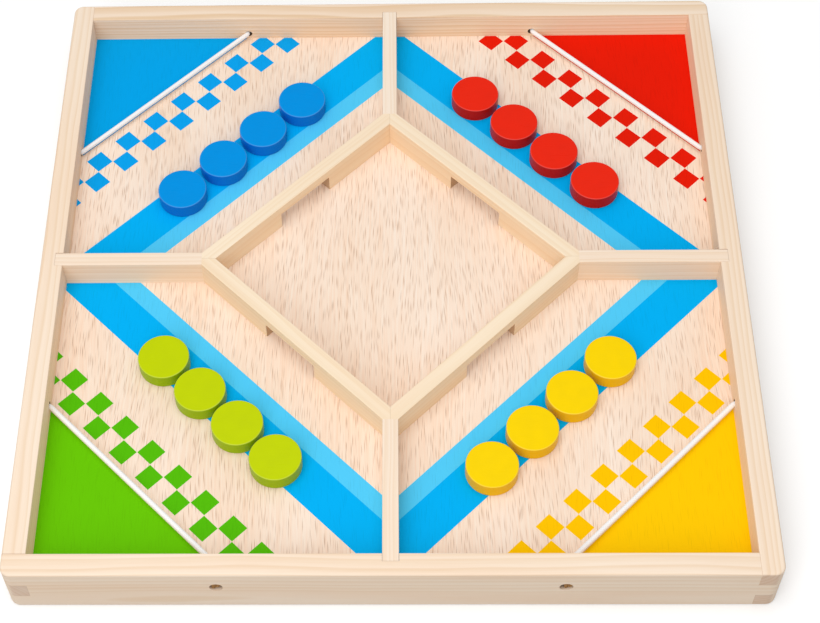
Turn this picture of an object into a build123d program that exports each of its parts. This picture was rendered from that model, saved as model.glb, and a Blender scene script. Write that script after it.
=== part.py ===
from build123d import *
import math
import os

# A square wooden finger flick tray for four players. All sizes are in millimetres.
# The origin is the middle of the underside, +X is to the right and +Y to the back.

# Outer rails, finger jointed at the four corners
board_side = 350.0
rail_thickness = 11.0
rail_height = 30.5
corner_radius = 5.0
finger_rows = 3
outer_edge_round = 1.2
inner_edge_round = 0.4

# Floor panel, held in a groove of the rails
floor_height = 15.0
panel_thickness = 4.0
groove_depth = 4.0
panel_clearance = 0.3

# Central diamond with a gate in each of its walls
field_side = 123.5
wall_thickness = 7.5
gate_length = 34.0
gate_height = 10.0

# Dividers between the four players' corners, housed in the rails
divider_thickness = 7.5
housing_depth = 4.0
housing_clearance = 0.1

# Round elastic across each corner, knotted in a pocket on the outside of each rail.
# It is pulled against the side of its hole that is nearer to the corner.
elastic_diameter = 2.5
elastic_over_floor = 3.5
hole_from_corner = 85.4
elastic_hole_clearance = 0.75
elastic_edge_gap = 0.15
elastic_bend_radius = 2.0
elastic_bend_lead = 0.3
pocket_diameter = 6.2
pocket_depth = 4.0
knot_diameter = 4.8
knot_flat_diameter = 4.2

# Discs, four to a player
disc_diameter = 25.0
disc_thickness = 8.0
disc_edge_round = 0.6
discs_in_row = 4

# Each player's corner: its signs along X and Y, how far the row of discs stands
# outside the middle of the lane, how far it is shifted along the lane towards the
# side rail, and the gap between two discs
players = {
    "blue": {"x": -1, "y": 1, "outwards": -8.4, "sideways": -2.3, "gap": 3.6},
    "red": {"x": 1, "y": 1, "outwards": -7.05, "sideways": -5.9, "gap": 3.4},
    "green": {"x": -1, "y": -1, "outwards": -4.5, "sideways": 0.3, "gap": 1.6},
    "yellow": {"x": 1, "y": -1, "outwards": -6.15, "sideways": -5.5, "gap": 2.9},
}

# Places that follow from the sizes above
root2 = math.sqrt(2)
half_side = board_side / 2
inner_half = half_side - rail_thickness
wall_height = rail_height - floor_height
finger_height = rail_height / finger_rows
groove_half = inner_half + groove_depth
panel_half = groove_half - panel_clearance
housing_half = inner_half + housing_depth
field_half = field_side / 2
wall_outside = field_half + wall_thickness
divider_start = root2 * wall_outside - divider_thickness / 2
hole_place = inner_half - hole_from_corner
elastic_place = hole_place + elastic_hole_clearance - elastic_edge_gap
hole_height = floor_height + elastic_over_floor
hole_radius = elastic_diameter / 2 + elastic_hole_clearance
bend_place = inner_half - elastic_bend_lead
pocket_floor = half_side - pocket_depth
elastic_line = (elastic_place + bend_place) / root2
lane_middle = (elastic_line + wall_outside) / 2

os.makedirs("parts", exist_ok=True)


def keep(builder, name):
    """Labels a finished piece and writes it."""
    builder.part.label = name
    export_step(builder.part, f"parts/{name}.step")


def long_top_edges(builder, direction):
    """The straight edges of a wall's top that run along it."""
    return builder.faces().sort_by(Axis.Z)[-1].edges().filter_by(Axis((0, 0, 0), direction))


# The tray's outside, with rounded corners and eased edges, which trims all four rails
with BuildPart() as envelope:
    with BuildSketch():
        RectangleRounded(board_side, board_side, corner_radius)
    extrude(amount=rail_height)
    fillet(
        envelope.faces().sort_by(Axis.Z)[-1].edges() + envelope.faces().sort_by(Axis.Z)[0].edges(),
        outer_edge_round,
    )


def make_rail(name, outward, along):
    """One rail, like the other three: its fingers take turns between its two ends, row by row."""
    middle = outward * (half_side - rail_thickness / 2)
    across = Plane(origin=middle, x_dir=along, z_dir=(0, 0, 1))
    with BuildPart() as rail:
        with BuildSketch(across):
            Rectangle(2 * inner_half, rail_thickness)
        extrude(amount=rail_height)
        for row in range(finger_rows):
            end = -1 if row % 2 == 0 else 1
            with BuildSketch(across.offset(row * finger_height)):
                with Locations((end * (inner_half + rail_thickness / 2), 0)):
                    Rectangle(rail_thickness, rail_thickness)
            extrude(amount=finger_height)
        add(envelope.part, mode=Mode.INTERSECT)
        # groove for the floor panel
        with BuildSketch(Plane.XY.offset(floor_height - panel_thickness)):
            Rectangle(2 * groove_half, 2 * groove_half)
        extrude(amount=panel_thickness, mode=Mode.SUBTRACT)
        # housing for the divider's end
        inner_face = outward * inner_half + Vector(0, 0, floor_height)
        with BuildSketch(Plane(origin=inner_face, x_dir=along, z_dir=(0, 0, 1))):
            Rectangle(divider_thickness + 2 * housing_clearance, 2 * housing_depth)
        extrude(amount=wall_height, mode=Mode.SUBTRACT)
        # two elastic holes, each with a pocket for the knot on the outside
        for side in (-1, 1):
            mouth = outward * half_side + along * (side * hole_place) + Vector(0, 0, hole_height)
            with Locations(Plane(origin=mouth, x_dir=along, z_dir=outward)):
                CounterBoreHole(hole_radius, pocket_diameter / 2, pocket_depth, depth=rail_thickness)
        top_edges = rail.faces().sort_by(Axis.Z)[-1].edges()
        fillet(top_edges.group_by(Axis((0, 0, 0), outward))[0], inner_edge_round)
    keep(rail, name)


x_way = Vector(1, 0, 0)
y_way = Vector(0, 1, 0)
make_rail("front_rail", y_way * -1, x_way)
make_rail("back_rail", y_way, x_way * -1)
make_rail("left_rail", x_way * -1, y_way * -1)
make_rail("right_rail", x_way, y_way)

with BuildPart() as floor_panel:
    with BuildSketch(Plane.XY.offset(floor_height - panel_thickness)):
        Rectangle(2 * panel_half, 2 * panel_half)
    extrude(amount=panel_thickness)
keep(floor_panel, "floor_panel")


def make_divider(name, outward, along):
    """A straight divider from the diamond's cut-off corner into the rail's housing."""
    end = housing_half - housing_clearance
    middle = outward * ((divider_start + end) / 2) + Vector(0, 0, floor_height)
    with BuildPart() as divider:
        with BuildSketch(Plane(origin=middle, x_dir=outward, z_dir=(0, 0, 1))):
            Rectangle(end - divider_start, divider_thickness)
        extrude(amount=wall_height)
        fillet(long_top_edges(divider, outward), inner_edge_round)
    keep(divider, name)


make_divider("front_divider", y_way * -1, x_way)
make_divider("back_divider", y_way, x_way)
make_divider("left_divider", x_way * -1, y_way)
make_divider("right_divider", x_way, y_way)


def make_wall(name, player):
    """A mitred wall of the diamond, its tips cut square to the dividers, with a gate at floor level."""
    tip = wall_outside - divider_thickness / (2 * root2)
    outer_end = wall_outside - divider_thickness / root2
    along = Vector(player["y"], -player["x"], 0).normalized()
    floor = Plane(origin=(0, 0, floor_height), x_dir=along, z_dir=(0, 0, 1))
    with BuildPart() as wall:
        with BuildSketch(floor):
            with BuildLine():
                Polyline(
                    (-field_half, field_half),
                    (field_half, field_half),
                    (tip, tip),
                    (outer_end, wall_outside),
                    (-outer_end, wall_outside),
                    (-tip, tip),
                    close=True,
                )
            make_face()
        extrude(amount=wall_height)
        with BuildSketch(floor):
            with Locations((0, field_half + wall_thickness / 2)):
                Rectangle(gate_length, 2 * wall_thickness)
        extrude(amount=gate_height, mode=Mode.SUBTRACT)
        fillet(long_top_edges(wall, along), inner_edge_round)
    keep(wall, name)


def make_elastic(name, player):
    """The taut elastic: out of one rail's pocket, across the corner and into the other rail's pocket."""
    x, y, z = player["x"], player["y"], hole_height
    with BuildPart() as elastic:
        with BuildLine() as path:
            FilletPolyline(
                (x * elastic_place, y * pocket_floor, z),
                (x * elastic_place, y * bend_place, z),
                (x * bend_place, y * elastic_place, z),
                (x * pocket_floor, y * elastic_place, z),
                radius=elastic_bend_radius,
            )
        route = path.wire()
        with BuildSketch(Plane(origin=route @ 0, z_dir=route % 0)):
            Circle(elastic_diameter / 2)
        sweep(path=route)
    run = math.pi * elastic_diameter**2 / 4 * route.length
    print(name, "volume over section times length", round(elastic.part.volume / run, 5))
    keep(elastic, name)


def make_knot(name, place, outward):
    """The knot at an elastic's end: a ball flattened where it bears on the pocket's floor."""
    radius = knot_diameter / 2
    rise = math.sqrt(radius**2 - (knot_flat_diameter / 2) ** 2)
    seat = Plane(origin=place, z_dir=outward)
    with BuildPart() as knot:
        with Locations(seat.offset(rise)):
            Sphere(radius)
        with BuildSketch(seat):
            Circle(knot_diameter)
        extrude(amount=-knot_diameter, mode=Mode.SUBTRACT)
    keep(knot, name)


def make_disc(name, player, number):
    """A playing disc, standing on the floor in its player's row."""
    out = Vector(player["x"], player["y"], 0).normalized()
    sideways = Vector(player["x"], -player["y"], 0).normalized()
    pitch = disc_diameter + player["gap"]
    shift = player["sideways"] + pitch * (number - (discs_in_row - 1) / 2)
    place = out * (lane_middle + player["outwards"]) + sideways * shift + Vector(0, 0, floor_height)
    with BuildPart() as disc:
        with BuildSketch(Plane(origin=place)):
            Circle(disc_diameter / 2)
        extrude(amount=disc_thickness)
        fillet(disc.edges().filter_by(GeomType.CIRCLE), disc_edge_round)
    keep(disc, name)


for colour, player in players.items():
    make_wall(f"{colour}_gate_wall", player)
    make_elastic(f"{colour}_elastic", player)
    end_rail = "back" if player["y"] > 0 else "front"
    side_rail = "right" if player["x"] > 0 else "left"
    end_pocket = (player["x"] * elastic_place, player["y"] * pocket_floor, hole_height)
    side_pocket = (player["x"] * pocket_floor, player["y"] * elastic_place, hole_height)
    make_knot(f"{colour}_knot_{end_rail}", end_pocket, y_way * player["y"])
    make_knot(f"{colour}_knot_{side_rail}", side_pocket, x_way * player["x"])
    for number in range(discs_in_row):
        make_disc(f"{colour}_disc_{number + 1}", player, number)
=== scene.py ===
import math

import bpy
import numpy as np
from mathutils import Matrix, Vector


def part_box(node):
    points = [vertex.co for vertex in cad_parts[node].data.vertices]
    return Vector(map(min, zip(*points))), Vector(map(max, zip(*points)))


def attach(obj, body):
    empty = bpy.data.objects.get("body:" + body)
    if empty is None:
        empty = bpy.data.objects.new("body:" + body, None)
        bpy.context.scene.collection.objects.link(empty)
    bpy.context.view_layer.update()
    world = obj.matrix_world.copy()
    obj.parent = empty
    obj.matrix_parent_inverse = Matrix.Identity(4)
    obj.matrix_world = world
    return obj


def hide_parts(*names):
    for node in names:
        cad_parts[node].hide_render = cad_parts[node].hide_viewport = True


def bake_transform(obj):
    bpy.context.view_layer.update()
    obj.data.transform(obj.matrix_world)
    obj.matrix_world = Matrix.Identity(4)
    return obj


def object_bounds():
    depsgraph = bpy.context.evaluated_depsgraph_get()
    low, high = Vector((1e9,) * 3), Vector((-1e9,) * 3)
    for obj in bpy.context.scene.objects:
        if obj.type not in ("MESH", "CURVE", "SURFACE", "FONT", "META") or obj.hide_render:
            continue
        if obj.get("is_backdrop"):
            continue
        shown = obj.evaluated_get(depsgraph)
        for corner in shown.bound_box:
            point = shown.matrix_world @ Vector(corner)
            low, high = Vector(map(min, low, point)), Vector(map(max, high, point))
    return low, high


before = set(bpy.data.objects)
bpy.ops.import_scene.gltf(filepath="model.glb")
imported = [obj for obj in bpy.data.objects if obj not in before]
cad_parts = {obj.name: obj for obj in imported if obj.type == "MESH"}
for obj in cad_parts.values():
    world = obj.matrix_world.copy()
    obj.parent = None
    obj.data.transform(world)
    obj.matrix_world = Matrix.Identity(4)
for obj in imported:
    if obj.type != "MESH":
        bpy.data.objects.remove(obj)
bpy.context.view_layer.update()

# The camera stands in front of the tray and looks down on it at about 55 degrees, as in the photograph.
# Its lens and place were solved from the tray's corners, dividers and printed checks. The photograph is
# a crop, so the lens is shifted a little.
camera_data = bpy.data.cameras.new("camera")
camera_data.sensor_width = 36.0
camera_data.lens = 78.965
camera_data.shift_x = 0.0687
camera_data.shift_y = -0.0133
camera = bpy.data.objects.new("camera", camera_data)
camera.location = (0.004342, -0.531936, 0.753879)
camera.rotation_euler = [math.radians(turn) for turn in (34.9552, 1.3556, 0.5782)]
bpy.context.scene.collection.objects.link(camera)
bpy.context.scene.camera = camera

# The elastics: one round cord across each corner, white polyester braid over a rubber core, 2.5 mm thick.
# Each is threaded through a hole in two rails and pulled taut, so it runs straight between them and bends
# sharply at the holes. It is two halves that meet in the middle, where a player draws it back.
inner_half = 0.164
elastic_radius = 0.00125
hole_place = 0.0786
pulled_aside = 0.0006
elastic_place = hole_place + pulled_aside
bend_lead = 0.0003
bend_place = inner_half - bend_lead
bend_reach = 0.0015
pocket_floor = 0.171
elastic_height = 0.0185
corners = {"blue": (-1, 1), "red": (1, 1), "green": (-1, -1), "yellow": (1, -1)}


def srgb(code):
    """A colour from its sRGB hex code, turned to linear."""
    parts = [int(code[k : k + 2], 16) / 255 for k in (1, 3, 5)]
    return [c / 12.92 if c <= 0.04045 else ((c + 0.055) / 1.055) ** 2.4 for c in parts] + [1.0]


def add(tree, kind, *values, **named):
    """Adds a node. Values go to its inputs in turn; a capital name is an input, a small one a setting."""
    node = tree.nodes.new("ShaderNode" + kind)
    for name, value in named.items():
        if name[0].islower():
            setattr(node, name, value)
    wanted = list(zip([socket for socket in node.inputs if socket.enabled], values))
    wanted += [(node.inputs[name], value) for name, value in named.items() if name[0].isupper()]
    for socket, value in wanted:
        if isinstance(value, bpy.types.Node):
            value = next(output for output in value.outputs if output.enabled)
        if isinstance(value, bpy.types.NodeSocket):
            tree.links.new(value, socket)
        elif value is not None:
            socket.default_value = value
    return node


def empty_material(name):
    """A material with no nodes yet, and its node tree."""
    material = bpy.data.materials.new(name)
    material.use_nodes = True
    material.node_tree.nodes.clear()
    return material, material.node_tree


def link_new(name, mesh, *materials):
    """Puts a finished mesh into the scene with its materials, smooth but for edges over 50 degrees."""
    for material in materials:
        mesh.materials.append(material)
    mesh.shade_smooth()
    mesh.set_sharp_from_angle(angle=math.radians(50))
    piece = bpy.data.objects.new(name, mesh)
    bpy.context.scene.collection.objects.link(piece)
    return piece


def spline_points(name, points):
    """Points along the smooth NURBS line that has these control points."""
    curve = bpy.data.curves.new(name, "CURVE")
    curve.dimensions = "3D"
    curve.resolution_u = 24
    spline = curve.splines.new("NURBS")
    spline.points.add(len(points) - 1)
    for place, point in zip(spline.points, points):
        place.co = (*point, 1.0)
    spline.order_u = 3
    spline.use_endpoint_u = True
    line = bpy.data.objects.new(name, curve)
    bpy.context.scene.collection.objects.link(line)
    mesh = bpy.data.meshes.new_from_object(line)
    path = np.empty(len(mesh.vertices) * 3)
    mesh.vertices.foreach_get("co", path)
    bpy.data.objects.remove(line)
    return path.reshape(-1, 3)


def tube(name, path, radius, around=24, closed=False):
    """A round tube. A point of it is the path's point plus radius times (cos t, sin t) in the plane
    across the path; radius is a number or one for each point. Its UV map is millimetres before the path's
    end, turns round."""
    path = np.asarray(path, float)
    radius = np.broadcast_to(np.asarray(radius, float), len(path))
    if closed:
        way = np.roll(path, -1, 0) - np.roll(path, 1, 0)
    else:
        way = np.gradient(path, axis=0)
    way /= np.linalg.norm(way, axis=1)[:, None]
    side = np.cross(way, np.array([0.13, 0.21, 1.0]))
    side /= np.linalg.norm(side, axis=1)[:, None]
    up = np.cross(side, way)
    t = np.linspace(0, 2 * np.pi, around, endpoint=False)
    ring = np.cos(t)[None, :, None] * side[:, None, :] + np.sin(t)[None, :, None] * up[:, None, :]
    points = (path[:, None, :] + radius[:, None, None] * ring).reshape(-1, 3)
    rows = len(path) if closed else len(path) - 1
    i, j = np.meshgrid(np.arange(rows), np.arange(around), indexing="ij")
    i, j = i.ravel(), j.ravel()
    after, beside = (i + 1) % len(path), (j + 1) % around
    faces = np.stack([i * around + j, i * around + beside, after * around + beside, after * around + j], 1)
    steps = np.linalg.norm(np.diff(path, axis=0), axis=1)
    along = (steps.sum() - np.concatenate([[0], np.cumsum(steps), [steps.sum() + steps[0]]])) * 1000
    uv = np.stack([np.stack([along[i], j / around], 1), np.stack([along[i], (j + 1) / around], 1),
                   np.stack([along[i + 1], (j + 1) / around], 1), np.stack([along[i + 1], j / around], 1)], 1)
    polygons = faces.tolist()
    uv = uv.reshape(-1, 2)
    if not closed:
        polygons += [list(range(around))[::-1], [len(points) - around + k for k in range(around)]]
        uv = np.concatenate([uv, np.zeros((2 * around, 2))])
    mesh = bpy.data.meshes.new(name)
    mesh.from_pydata(points.tolist(), [], polygons)
    mesh.uv_layers.new(name="braid").data.foreach_set("uv", uv.ravel())
    mesh.update()
    return mesh


# Braided polyester sheath: matt white, 16 strands in two crossing spirals, drawn 1.6 mm to a lobe so that
# it shows. The strands stand 0.06 mm proud and the dips between them hold a little shade.
strands_each_way = 8
lobe_length = 1.6
sheath, tree = empty_material("braided polyester elastic")
turns = add(tree, "SeparateXYZ", add(tree, "UVMap", uv_map="braid"))
lobes_along = add(tree, "Math", turns.outputs[0], 2 * math.pi / lobe_length, operation="MULTIPLY")
lobes_round = add(tree, "Math", turns.outputs[1], 2 * math.pi * strands_each_way, operation="MULTIPLY")
one_way = add(tree, "Math", lobes_round, lobes_along, operation="ADD")
other_way = add(tree, "Math", lobes_round, lobes_along, operation="SUBTRACT")
one_way = add(tree, "Math", one_way, operation="COSINE")
other_way = add(tree, "Math", other_way, operation="COSINE")
strands = add(tree, "Math", one_way, other_way, operation="MAXIMUM")
strands = add(tree, "MapRange", strands, -1.0, 1.0, 0.0, 1.0)
sheath_colour = add(tree, "Mix", strands, srgb("#F4F1F1"), srgb("#FFFEFE"), data_type="RGBA")
relief = add(tree, "Bump", 0.4, 0.00006, Height=strands)
shader = add(tree, "BsdfPrincipled", Normal=relief, Roughness=0.62, **{"Base Color": sheath_colour})
shader.inputs["Sheen Weight"].default_value = 0.35
add(tree, "OutputMaterial", shader)

for colour, (x, y) in corners.items():
    end_rail = "back" if y > 0 else "front"
    side_rail = "right" if x > 0 else "left"
    middle = np.array([x, y, 0]) * (elastic_place + bend_place) / 2 + (0, 0, elastic_height)
    for rail, swap in ((end_rail, False), (side_rail, True)):
        route = [
            (elastic_place, pocket_floor),
            (elastic_place, bend_place + bend_reach),
            (elastic_place, bend_place),
            (elastic_place + bend_reach, bend_place - bend_reach),
        ]
        route = [(x * b, y * a) if swap else (x * a, y * b) for a, b in route]
        route = [(a, b, elastic_height) for a, b in route] + [tuple(middle)]
        path = spline_points(f"{colour}_route_{rail}", route)
        name = f"{colour}_elastic_half_{rail}"
        half = link_new(name, tube(name, path, elastic_radius), sheath)
        mouth = (inner_half, elastic_place) if swap else (elastic_place, inner_half)
        mouth = (x * mouth[0], y * mouth[1], elastic_height)
        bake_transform(half)
        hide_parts(f"{colour}_elastic")

# The knots: each elastic's end is stripped of its braid, and its natural latex core is tied in a small
# overhand knot, pulled up hard against the floor of its pocket and trimmed short. The rubber is a matt
# golden brown, a little dusty from the tapioca powder it was packed in.
latex, tree = empty_material("natural latex core")
spot = add(tree, "TexCoord").outputs["Object"]
dust = add(tree, "TexNoise", Vector=spot, Scale=1400.0, Detail=3.0, Roughness=0.6)
dusty = add(tree, "MapRange", dust, 0.35, 0.7, 0.0, 0.6)
latex_colour = add(tree, "Mix", dusty, srgb("#97662F"), srgb("#C39A63"), data_type="RGBA")
relief = add(tree, "Bump", 0.5, 0.00004, Height=dust)
shader = add(tree, "BsdfPrincipled", Normal=relief, Roughness=0.7, **{"Base Color": latex_colour})
add(tree, "OutputMaterial", shader)
core_radius = 0.00082
loop_radius = 0.0019
loop_rise = 0.0009
loop_lift = 0.0012
tail_aside = 0.0009
tail_rise = 0.0011
tail_length = 0.0022


def overhand_knot(name, seat, outward):
    """A trefoil line, (sin t + 2 sin 2t, cos t - 2 cos 2t) across the pocket and -sin 3t out of it, as a
    closed tube, and a tail that curves out of its middle and tapers to a rounded end."""
    across = np.cross(outward, (0, 0, 1.0))
    rise = np.array([0, 0, 1.0])
    t = np.linspace(0, 2 * np.pi, 144, endpoint=False)
    u = (np.sin(t) + 2 * np.sin(2 * t)) / 3 * loop_radius
    v = (np.cos(t) - 2 * np.cos(2 * t)) / 3 * loop_radius
    w = core_radius - np.sin(3 * t) * loop_rise + loop_lift
    loop = seat + u[:, None] * across + v[:, None] * rise + w[:, None] * outward
    s = np.linspace(0, 1, 24)
    tail = seat + (tail_aside * np.sin(2.2 * s))[:, None] * across + (tail_rise * s)[:, None] * rise
    tail = tail + (loop_lift + tail_length * s)[:, None] * outward
    taper = core_radius * np.sqrt(np.clip(1 - (np.clip(s - 0.8, 0, 1) / 0.2) ** 2, 0.02, 1))
    return tube(name, loop, core_radius, 16, closed=True), tube(name + "_tail", tail, taper, 16)


sides = {"back": (0, 1, 0), "front": (0, -1, 0), "left": (-1, 0, 0), "right": (1, 0, 0)}
for node in [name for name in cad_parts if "_knot_" in name]:
    low, high = (np.array(corner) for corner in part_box(node))
    way = np.array(sides[node.split("_")[2]], float)
    seat = (low + high) / 2 * (1 - np.abs(way)) + way * pocket_floor
    tied, cut = overhand_knot(node + "_tied", seat, way)
    for piece in (link_new(node + "_tied", tied, latex), link_new(node + "_tail", cut, latex)):
        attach(piece, "tray")
        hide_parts(node)

# The rails: four planed pine strips, finger jointed and glued at the corners, sanded flush and sealed with a
# thin matt coat. Each has its own growth rings, which run along it and show as arcs on the fingers' ends.
# The four sizes below are in mm, like all of the wood's shading.
half_side = 175.0
rail_height = 30.5
finger_rows = 3
pocket_radius = 3.1


def planed_pine(name, grain_angle, pith, light, dark, ring, contrast=1.0, joint=None):
    """Growth rings are the fractional part of (distance from the pith line, warped by noise) over ring, in
    mm; fibres are noise 56 times longer than wide; faces across the grain are darker as end grain, and on
    "mitres" pieces browner and darker still, partly as end grain and partly as painted shade on the gates'
    jambs. The joint's glue lines, on "fingers" or "mitres", are drawn 0.25 mm wide so that they show. A
    fingered piece has the knots' pockets too, which are rough within; painted shade darkens them, more the
    deeper they go."""
    material, tree = empty_material(name)
    spot = add(tree, "TexCoord").outputs["Object"]
    millimetres = add(tree, "Mapping", spot, pith, (0, 0, -grain_angle), (1000, 1000, 1000))
    slow = add(tree, "Mapping", millimetres, (0, 0, 0), (0, 0, 0), (1 / 150, 1 / 30, 1 / 30))
    wander = add(tree, "TexNoise", Vector=slow, Scale=1.0, Detail=2.0)
    offset = add(tree, "VectorMath", wander.outputs["Color"], (0.5, 0.5, 0.5), operation="SUBTRACT")
    warped = add(tree, "VectorMath", offset, (0, 5, 5), millimetres, operation="MULTIPLY_ADD")
    across = add(tree, "VectorMath", warped, (0, 1, 1), operation="MULTIPLY")
    distance = add(tree, "VectorMath", across, operation="LENGTH").outputs["Value"]
    uneven = add(tree, "TexNoise", W=add(tree, "Math", distance, 0.21, operation="MULTIPLY"), Scale=1.0,
                 noise_dimensions="1D")
    years = add(tree, "Math", add(tree, "Math", distance, ring, operation="DIVIDE"),
                add(tree, "Math", uneven, 1.6, operation="MULTIPLY"), operation="ADD")
    season = add(tree, "Math", years, operation="FRACT")
    fall_off = add(tree, "MapRange", season, 0.86, 1.0, contrast, 0.0)
    latewood = add(tree, "Math", season, 2.2, operation="POWER")
    latewood = add(tree, "Math", latewood, fall_off, operation="MULTIPLY")
    fine = add(tree, "Mapping", millimetres, (0, 0, 0), (0, 0, 0), (1 / 28, 1 / 0.5, 1 / 0.5))
    fibre = add(tree, "TexNoise", Vector=fine, Scale=1.0, Detail=3.0, Roughness=0.62)
    wide = add(tree, "Mapping", millimetres, (40, 0, 0), (0, 0, 0), (1 / 140, 1 / 12, 1 / 12))
    patch = add(tree, "TexNoise", Vector=wide, Scale=1.0, Detail=1.0)
    wood = add(tree, "Mix", latewood, srgb(light), srgb(dark), data_type="RGBA")
    tone = add(tree, "MapRange", patch, 0.3, 0.7, 0.0, 0.22)
    wood = add(tree, "Mix", tone, wood, srgb("#EFCBA2"), data_type="RGBA", blend_type="MULTIPLY")
    streak = add(tree, "MapRange", fibre, 0.25, 0.75, 0.32, 0.68)
    wood = add(tree, "Mix", 0.38, wood, streak, data_type="RGBA", blend_type="SOFT_LIGHT")
    axis = (math.cos(grain_angle), math.sin(grain_angle), 0)
    normal = add(tree, "NewGeometry").outputs["Normal"]
    facing = add(tree, "VectorMath", normal, axis, operation="DOT_PRODUCT")
    facing = add(tree, "Math", facing.outputs["Value"], operation="ABSOLUTE")
    # faces across the grain are darkened as end grain; with "mitres" the darkening is browner and stronger,
    # partly end grain and partly painted shade on the gates' jambs
    deepening, sawn = (0.6, srgb("#8E6A48")) if joint == "mitres" else (0.42, srgb("#CDB9B4"))
    end_grain_and_jamb_shade = add(tree, "MapRange", facing, 0.85, 0.97, 0.0, deepening)
    wood = add(tree, "Mix", end_grain_and_jamb_shade, wood, sawn, data_type="RGBA", blend_type="MULTIPLY")
    if joint:
        place = add(tree, "VectorMath", spot, (1000, 1000, 1000), operation="MULTIPLY")
        place = add(tree, "SeparateXYZ", place)
        seams = [add(tree, "Math", place.outputs[k], operation="ABSOLUTE") for k in (0, 1)]
        corner = 1.0
        if joint == "fingers":
            own, other = seams if grain_angle == 0 else seams[::-1]
            level = place.outputs[2]
            rail_inside = inner_half * 1000
            corner = add(tree, "Math", own, rail_inside - 0.1, operation="GREATER_THAN")
            aside = add(tree, "Math", own, hole_place * 1000, operation="SUBTRACT")
            above = add(tree, "Math", level, elastic_height * 1000, operation="SUBTRACT")
            off_axis = add(tree, "VectorMath", add(tree, "CombineXYZ", aside, above), operation="LENGTH")
            off_axis = off_axis.outputs["Value"]
            # painted shade in the knots' pockets and holes: a dark brown laid over the wood, fading in over
            # the 2 mm below the pocket's mouth
            pocket_shade = add(tree, "MapRange", off_axis, pocket_radius - 0.05, pocket_radius + 0.05, 0.9, 0.0)
            deep = add(tree, "MapRange", other, half_side - 0.4, half_side - 2.4, 0.0, 1.0)
            pocket_shade = add(tree, "Math", pocket_shade, deep, operation="MULTIPLY")
            in_rail = add(tree, "Math", other, rail_inside + 0.2, operation="GREATER_THAN")
            pocket_shade = add(tree, "Math", pocket_shade, in_rail, operation="MULTIPLY")
            wood = add(tree, "Mix", pocket_shade, wood, srgb("#4E3018"), data_type="RGBA")
            seams = [add(tree, "Math", other, rail_inside, operation="SUBTRACT")]
            seams += [add(tree, "Math", level, rail_height * k / finger_rows, operation="SUBTRACT")
                      for k in range(1, finger_rows)]
        near = 1.0
        for seam in seams:
            near = add(tree, "Math", near, add(tree, "Math", seam, operation="ABSOLUTE"), operation="MINIMUM")
        line = add(tree, "MapRange", near, 0.06, 0.18, 0.22, 0.0)
        line = add(tree, "Math", line, corner, operation="MULTIPLY")
        wood = add(tree, "Mix", line, wood, srgb("#8A6A48"), data_type="RGBA")
    height = add(tree, "Math", fibre, add(tree, "Math", latewood, 0.5, operation="MULTIPLY"), operation="ADD")
    relief = add(tree, "Bump", 0.5, 0.00005, Height=height)
    roughness = add(tree, "MapRange", fibre, 0.3, 0.7, 0.5, 0.62)
    shader = add(tree, "BsdfPrincipled", Normal=relief, Roughness=roughness, **{"Base Color": wood})
    shader.inputs["Specular IOR Level"].default_value = 0.2
    add(tree, "OutputMaterial", shader)
    return material


quarter = math.pi / 2
rails = {
    "front_rail": (0.0, (13, 190, -6), 0.7),
    "back_rail": (0.0, (57, -158, 0), 1.3),
    "left_rail": (quarter, (31, -196, 4), 0.7),
    "right_rail": (quarter, (83, 158, -34), 0.8),
}
for rail, (angle, pith, contrast) in rails.items():
    pine = planed_pine(f"planed pine of the {rail.replace('_', ' ')}", angle, pith, "#FBE8D3", "#EDCFAB", 2.4,
                       contrast, "fingers")
    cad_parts[rail].material_slots[0].material = pine

# The dividers: four straight strips of the same pine, each glued into a shallow housing in its rail and
# against the diamond's corner. They are cut from quieter stock, with close, pale rings.
dividers = {"front": quarter, "back": quarter, "left": 0.0, "right": 0.0}
for k, (divider, angle) in enumerate(dividers.items()):
    pith = (19 * k, 31 + 9 * k, -48 - 5 * k)
    pine = planed_pine(f"planed pine of the {divider} divider", angle, pith, "#FCECDA", "#F0D5B5", 2.1, 0.7)
    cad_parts[f"{divider}_divider"].material_slots[0].material = pine

# The diamond's walls: four mitred strips of pine, each with a low gate sawn out of its underside before it
# was glued down. Their ends meet in a mitre, and their tips are cut flat for the dividers.
for k, (colour, (x, y)) in enumerate(corners.items()):
    pith = (23 * k, 27 - 7 * k, 39 + 6 * k)
    angle = -x * y * math.pi / 4
    # their faces across the grain, the gates' jambs among them, are darkened brown: partly end grain, partly
    # painted shade
    pine = planed_pine(f"planed pine of the {colour} wall", angle, pith, "#FCE9CE", "#F1D4AC", 2.6, 0.5,
                       "mitres")
    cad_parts[f"{colour}_gate_wall"].material_slots[0].material = pine

# The floor: one beech-veneered panel, screen printed before assembly and held in the rails' grooves.
# Two blue bands run along every lane, and each corner has a solid triangle and two rows of checks.
beech, tree = empty_material("beech veneer, screen printed")
spot = add(tree, "TexCoord").outputs["Object"]
millimetres = add(tree, "VectorMath", spot, (1000, 1000, 1000), operation="MULTIPLY")
bend_spot = add(tree, "Mapping", millimetres, (0, 0, 0), (0, 0, 0), (1 / 45, 1 / 160, 1))
bend = add(tree, "TexNoise", Vector=bend_spot, Scale=1.0, Detail=1.0)
bend = add(tree, "VectorMath", bend.outputs["Color"], (0.5, 0.5, 0.5), operation="SUBTRACT")
bend = add(tree, "VectorMath", bend, (16, 0, 0), millimetres, operation="MULTIPLY_ADD")
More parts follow.
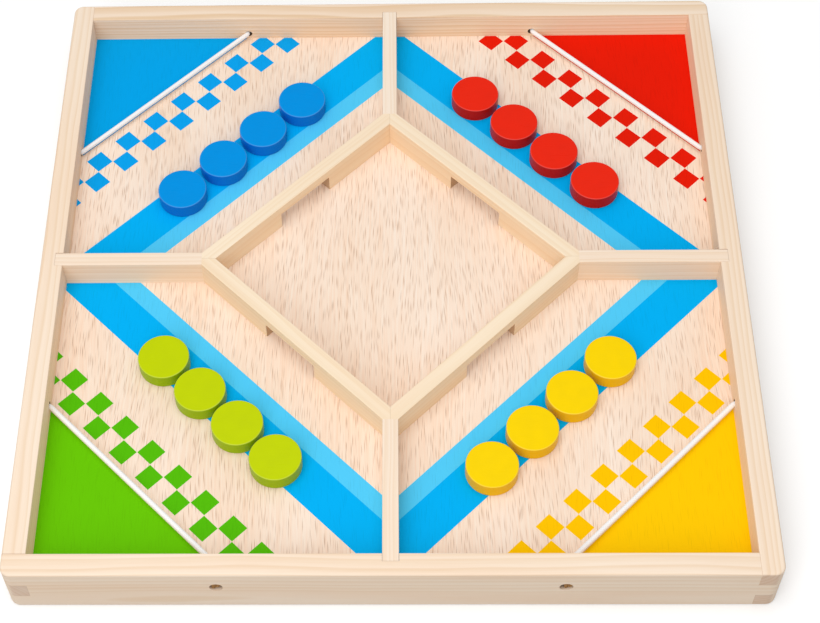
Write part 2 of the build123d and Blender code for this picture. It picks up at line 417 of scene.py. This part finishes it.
# medullary rays: fine dark dashes along the grain, up to about 9 mm by 0.5 mm
dash_spot = add(tree, "Mapping", bend, (0, 0, 0), (0, 0, 0), (1 / 0.65, 1 / 13, 1))
dash = add(tree, "TexVoronoi", Vector=dash_spot, Scale=1.0, Randomness=1.0, voronoi_dimensions="2D")
strength = add(tree, "MapRange", add(tree, "SeparateColor", dash.outputs["Color"]), 0.2, 1.0, 0.0, 1.0)
mark = add(tree, "MapRange", dash.outputs["Distance"], 0.08, 0.36, 1.0, 0.0)
mark = add(tree, "Math", mark, strength, operation="MULTIPLY")
streak_spot = add(tree, "Mapping", bend, (0, 0, 0), (0, 0, 0), (1 / 0.9, 1 / 40, 1))
streak = add(tree, "TexNoise", Vector=streak_spot, Scale=1.0, Detail=4.0, Roughness=0.6)
streaked = add(tree, "MapRange", streak, 0.3, 0.7, 0.3, 0.75)
cloud_spot = add(tree, "Mapping", bend, (0, 0, 0), (0, 0, 0), (1 / 30, 1 / 150, 1))
cloud = add(tree, "TexNoise", Vector=cloud_spot, Scale=1.0, Detail=1.0)
cloud = add(tree, "MapRange", cloud, 0.3, 0.7, 0.0, 1.0)
veneer = add(tree, "Mix", cloud, srgb("#FBE7D5"), srgb("#F7DDC6"), data_type="RGBA")
veneer = add(tree, "Mix", 0.7, veneer, streaked, data_type="RGBA", blend_type="SOFT_LIGHT")
dark = add(tree, "Math", mark, 0.72, operation="MULTIPLY")
veneer = add(tree, "Mix", dark, veneer, srgb("#AC7C56"), data_type="RGBA")
place = add(tree, "SeparateXYZ", millimetres)
size_x = add(tree, "Math", place.outputs[0], operation="ABSOLUTE")
size_y = add(tree, "Math", place.outputs[1], operation="ABSOLUTE")
outwards = add(tree, "Math", size_x, size_y, operation="ADD")
outwards = add(tree, "Math", outwards, 1 / math.sqrt(2), operation="MULTIPLY")
sideways = add(tree, "Math", size_x, size_y, operation="SUBTRACT")
sideways = add(tree, "Math", sideways, 1 / math.sqrt(2), operation="MULTIPLY")
on_right = add(tree, "Math", place.outputs[0], 0.0, operation="GREATER_THAN")
at_back = add(tree, "Math", place.outputs[1], 0.0, operation="GREATER_THAN")


def corner_ink(tree, blue, red, green, yellow):
    """One ink colour for each corner, picked by which side of the middle the point is on."""
    back = add(tree, "Mix", on_right, srgb(blue), srgb(red), data_type="RGBA")
    front = add(tree, "Mix", on_right, srgb(green), srgb(yellow), data_type="RGBA")
    return add(tree, "Mix", at_back, front, back, data_type="RGBA")


# the print's sizes in mm; the bands', checks' and triangles' places are measured along a corner's diagonal
checks_from = 148.0
check_side = 9.78
check_edge = 0.08
triangle_from = 172.3
dark_band_middle = 111.5
dark_band_reach = 10.3
light_band_middle = 96.575
light_band_reach = 4.625


def corner_size(tree, blue, red, green, yellow):
    """One size for each corner, in mm."""
    back = add(tree, "Mix", on_right, blue, red)
    front = add(tree, "Mix", on_right, green, yellow)
    return add(tree, "Mix", at_back, front, back)


# each corner's checks start at their own place beside the end rail and have their own pitch along the row
check_pair = corner_size(tree, 19.7, 19.96, 19.2, 18.9)
check_start = corner_size(tree, 52.65, 53.5, 49.85, 49.3)
from_row = add(tree, "Math", outwards, checks_from, operation="SUBTRACT")
row = add(tree, "Math", from_row, check_side, operation="DIVIDE")
row = add(tree, "Math", row, operation="FLOOR")
pairs = add(tree, "Math", sideways, check_start, operation="ADD")
pairs = add(tree, "Math", pairs, check_pair, operation="DIVIDE")
# each row is half a pair on, a quarter puts a check's middle at the start, 40 pairs keep it above zero
half_pair = add(tree, "Math", row, 0.5, 40.25, operation="MULTIPLY_ADD")
pairs = add(tree, "Math", pairs, half_pair, operation="ADD")
in_pair = add(tree, "Math", pairs, operation="FRACT")
in_row = add(tree, "Math", from_row, check_side, operation="MODULO")
sliver = check_edge / check_side
check = add(tree, "Math", in_pair, 0.25, 0.25 - sliver / 2, operation="COMPARE")
for value, middle, reach in ((in_row, check_side / 2, check_side / 2 - check_edge), (row, 0.5, 0.6)):
    within = add(tree, "Math", value, middle, reach, operation="COMPARE")
    check = add(tree, "Math", check, within, operation="MULTIPLY")
dark_band = add(tree, "Math", outwards, dark_band_middle, dark_band_reach, operation="COMPARE")
light_band = add(tree, "Math", outwards, light_band_middle, light_band_reach, operation="COMPARE")
triangle = add(tree, "Math", outwards, triangle_from, operation="GREATER_THAN")
inked = [
    (dark_band, srgb("#00B2F8")),
    (light_band, srgb("#52CDFC")),
    (check, corner_ink(tree, "#08A4F0", "#E61D07", "#55BC08", "#FFC600")),
    (triangle, corner_ink(tree, "#00A6EE", "#EA1C06", "#67C503", "#FFCC02")),
]
colour = veneer
covered = None
for shape, ink in inked:
    colour = add(tree, "Mix", shape, colour, ink, data_type="RGBA")
    covered = shape if covered is None else add(tree, "Math", covered, shape, operation="MAXIMUM")
# the grain shows through the ink a little
through = add(tree, "Math", mark, 0.12, operation="MULTIPLY")
through = add(tree, "Math", through, covered, operation="MULTIPLY")
colour = add(tree, "Mix", through, colour, srgb("#6A5A48"), data_type="RGBA", blend_type="MULTIPLY")
relief = add(tree, "Bump", 0.35, 0.00003, Height=add(tree, "Math", streak, mark, operation="SUBTRACT"))
roughness = add(tree, "MapRange", covered, 0.0, 1.0, 0.55, 0.45)
# the light that it throws onto the pine is nearer to the wood's own colour than to the ink's
thrown = add(tree, "Math", add(tree, "LightPath").outputs["Is Diffuse Ray"], 0.5, operation="MULTIPLY")
colour = add(tree, "Mix", thrown, colour, srgb("#F3C68C"), data_type="RGBA")
shader = add(tree, "BsdfPrincipled", Normal=relief, Roughness=roughness, **{"Base Color": colour})
shader.inputs["Specular IOR Level"].default_value = 0.03
add(tree, "OutputMaterial", shader)
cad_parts["floor_panel"].material_slots[0].material = beech

# The discs: turned beech, tumbled until the edges are soft, and sprayed with a satin water-based enamel.
# The wood's pores and the spray's fine orange peel still show in the gloss.


def satin_enamel(name, code, side_shade_code):
    """Enamel whose relief is wood fibre noise plus fine orange peel 0.5 mm across. Its tone drifts a
    little. Painted shade makes it darker on the disc's side, and a faint painted highlight makes it paler
    on the upper rounded edges."""
    material, tree = empty_material(name)
    spot = add(tree, "TexCoord").outputs["Object"]
    millimetres = add(tree, "VectorMath", spot, (1000, 1000, 1000), operation="MULTIPLY")
    peel = add(tree, "TexNoise", Vector=millimetres, Scale=1.9, Detail=2.0)
    fibre_place = add(tree, "Mapping", millimetres, (0, 0, 0), (0, 0, 0.5), (1 / 9, 1 / 0.5, 1 / 0.5))
    fibre = add(tree, "TexNoise", Vector=fibre_place, Scale=1.0, Detail=2.0)
    drift = add(tree, "TexNoise", Vector=millimetres, Scale=0.16, Detail=1.0)
    drift = add(tree, "MapRange", drift, 0.3, 0.7, 0.0, 0.03)
    enamel = add(tree, "Mix", drift, srgb(code), (0.02, 0.02, 0.02, 1), data_type="RGBA")
    upright = add(tree, "SeparateXYZ", add(tree, "NewGeometry").outputs["Normal"]).outputs[2]
    level = add(tree, "Math", upright, operation="ABSOLUTE")
    # painted shade: the disc's side is multiplied by its own darker colour
    side = add(tree, "MapRange", level, 0.3, 0.8, 1.0, 0.0)
    enamel = add(tree, "Mix", side, enamel, srgb(side_shade_code), data_type="RGBA", blend_type="MULTIPLY")
    # painted highlight: 5 % white on the upper rounded edge, where the normal's upward part lies between 0.26
    # and 0.94
    painted_rim_highlight = add(tree, "Math", upright, 0.6, 0.34, operation="COMPARE")
    painted_rim_highlight = add(tree, "Math", painted_rim_highlight, 0.05, operation="MULTIPLY")
    enamel = add(tree, "Mix", painted_rim_highlight, enamel, (1, 1, 1, 1), data_type="RGBA")
    height = add(tree, "Math", peel, 0.5, fibre, operation="MULTIPLY_ADD")
    relief = add(tree, "Bump", 0.35, 0.00004, Height=height)
    roughness = add(tree, "MapRange", fibre, 0.3, 0.7, 0.26, 0.34)
    shader = add(tree, "BsdfPrincipled", Normal=relief, Roughness=roughness, **{"Base Color": enamel})
    shader.inputs["Specular IOR Level"].default_value = 0.07
    add(tree, "OutputMaterial", shader)
    return material


# each enamel's second colour is painted shade, multiplied in on the disc's side
enamels = {
    "blue": ("#0094E6", "#D2D2FA"),
    "red": ("#F02A14", "#C09CD6"),
    "green": ("#C3D503", "#CBE2D9"),
    "yellow": ("#FDD703", "#F4E6D9"),
}
for colour_name, codes in enamels.items():
    enamel = satin_enamel(f"satin {colour_name} enamel", *codes)
    for number in range(1, 5):
        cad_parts[f"{colour_name}_disc_{number}"].material_slots[0].material = enamel

# The studio: a plain white sheet under the tray and plain soft light. A large soft box hangs above and in
# front, another fills from the front, and white surroundings lift the shadows. The sheet glows a little, to
# keep its shadows pale, and throws back less light than it shows. The surroundings give no gloss, as behind
# a polarising filter, so the rails' fronts and the inks stay as deep as in the photograph.
stage_mesh = bpy.data.meshes.new("floor")
edge = 4.0
square = [(-edge, -edge, 0), (edge, -edge, 0), (edge, edge, 0), (-edge, edge, 0)]
stage_mesh.from_pydata(square, [], [(0, 1, 2, 3)])
white_sheet, tree = empty_material("white paper")
shown, thrown = (0.98, 0.98, 0.98, 1), (0.32, 0.32, 0.32, 1)
shade = add(tree, "Mix", add(tree, "LightPath").outputs["Is Diffuse Ray"], shown, thrown, data_type="RGBA")
paper = add(tree, "BsdfPrincipled", Roughness=0.9, **{"Base Color": shade})
paper.inputs["Specular IOR Level"].default_value = 0.0
paper.inputs["Emission Color"].default_value = (1, 1, 1, 1)
paper.inputs["Emission Strength"].default_value = 0.13
add(tree, "OutputMaterial", paper)
floor = link_new("floor", stage_mesh, white_sheet)
floor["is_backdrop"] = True

lamps = {"soft_box": ((-0.12, -0.14, 1.3), 1.0, 7.1), "front_fill": ((-0.4, -1.05, 0.9), 0.9, 5.6)}
for name, (place, size, power) in lamps.items():
    light_data = bpy.data.lights.new(name, "AREA")
    light_data.size = size
    light_data.energy = power
    light = bpy.data.objects.new(name, light_data)
    light.location = place
    aim = np.arctan2(np.hypot(place[0], place[1]), place[2])
    light.rotation_euler = (0, aim, math.atan2(place[1], place[0]))
    bpy.context.scene.collection.objects.link(light)
world = bpy.data.worlds.new("white studio")
world.use_nodes = True
world.node_tree.nodes.clear()
surroundings = add(world.node_tree, "Background", (1, 1, 1, 1), 0.5)
add(world.node_tree, "OutputWorld", surroundings)
world.cycles_visibility.glossy = False
bpy.context.scene.world = world
bpy.context.scene.view_settings.view_transform = "Standard"

low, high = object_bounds()
